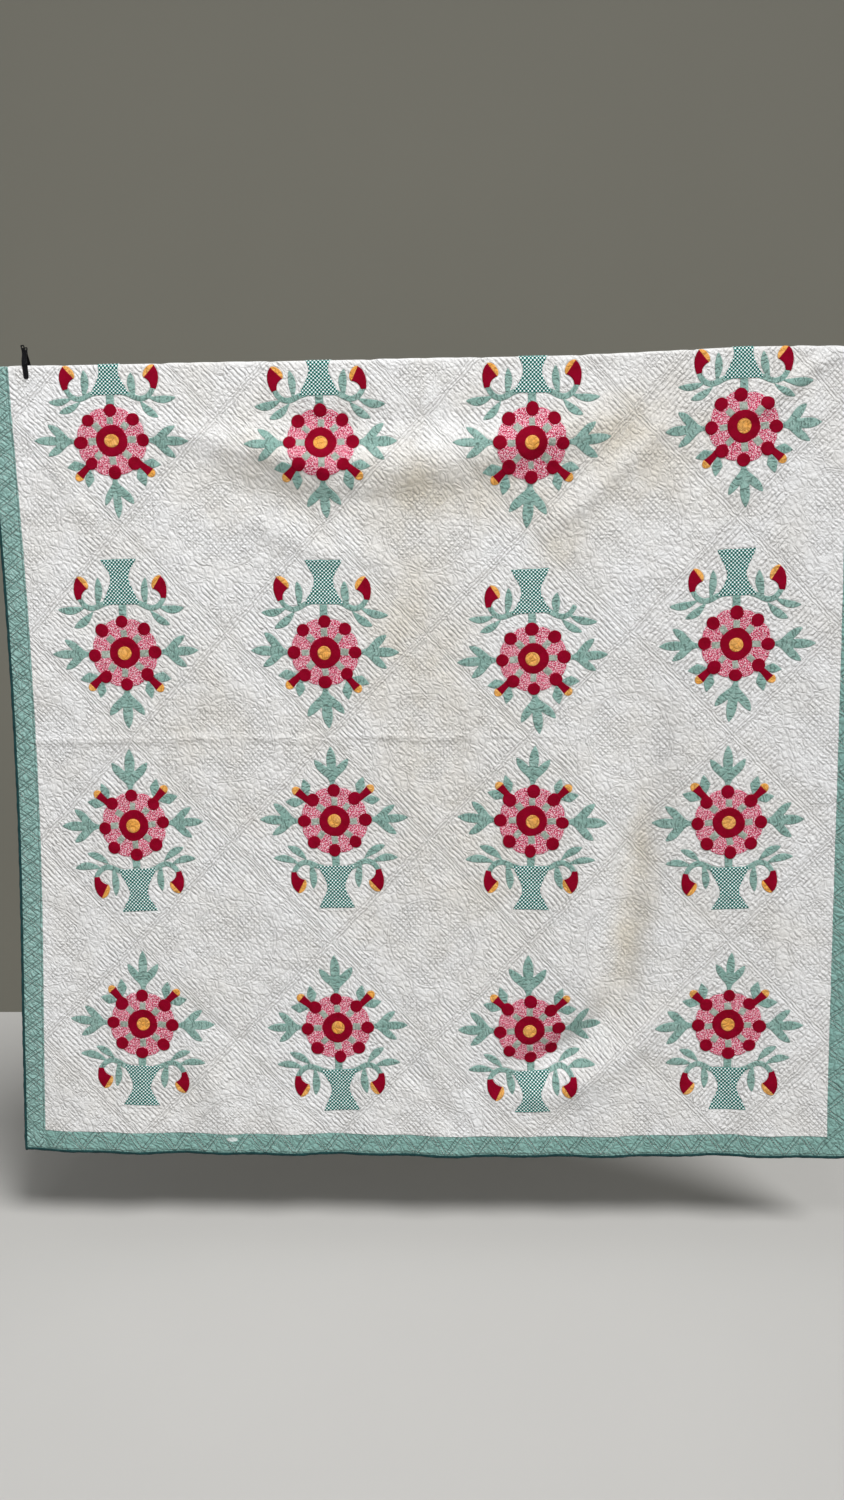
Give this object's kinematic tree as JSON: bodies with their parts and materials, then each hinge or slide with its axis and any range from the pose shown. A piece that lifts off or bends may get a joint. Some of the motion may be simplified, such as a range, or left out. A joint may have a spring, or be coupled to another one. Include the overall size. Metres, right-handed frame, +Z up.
{
  "type": "applique quilt",
  "caption": "Square quilt with flower basket applique on a white quilted ground, aqua border and dark binding, hung over a line by its top edge with a small spring clip.",
  "frame": {"origin": "middle of the space inside the top fold, where the line passes, halfway along it", "axes": "X along the line, -Y the side with the applique, facing the viewer, +Z up"},
  "size_m": [2.05, 0.0543, 1.9655],
  "materials": {
    "quilted_cotton": "white cotton, hand quilted and washed soft",
    "aqua_cotton": "plain aqua cotton, quilted",
    "teal_binding": "very dark teal cotton binding",
    "black_steel": "blackened steel, slightly glossy"
  },
  "bodies": {
    "root": {"quilt_ground": "quilted_cotton", "border_left": "aqua_cotton", "border_right": "aqua_cotton", "border_bottom": "aqua_cotton", "border_top": "aqua_cotton", "binding_left": "teal_binding", "binding_right": "teal_binding", "binding_bottom": "teal_binding", "binding_top": "teal_binding", "clip_jaw_front": "black_steel", "clip_jaw_back": "black_steel", "clip_spring": "black_steel"}
  },
  "joints": []
}
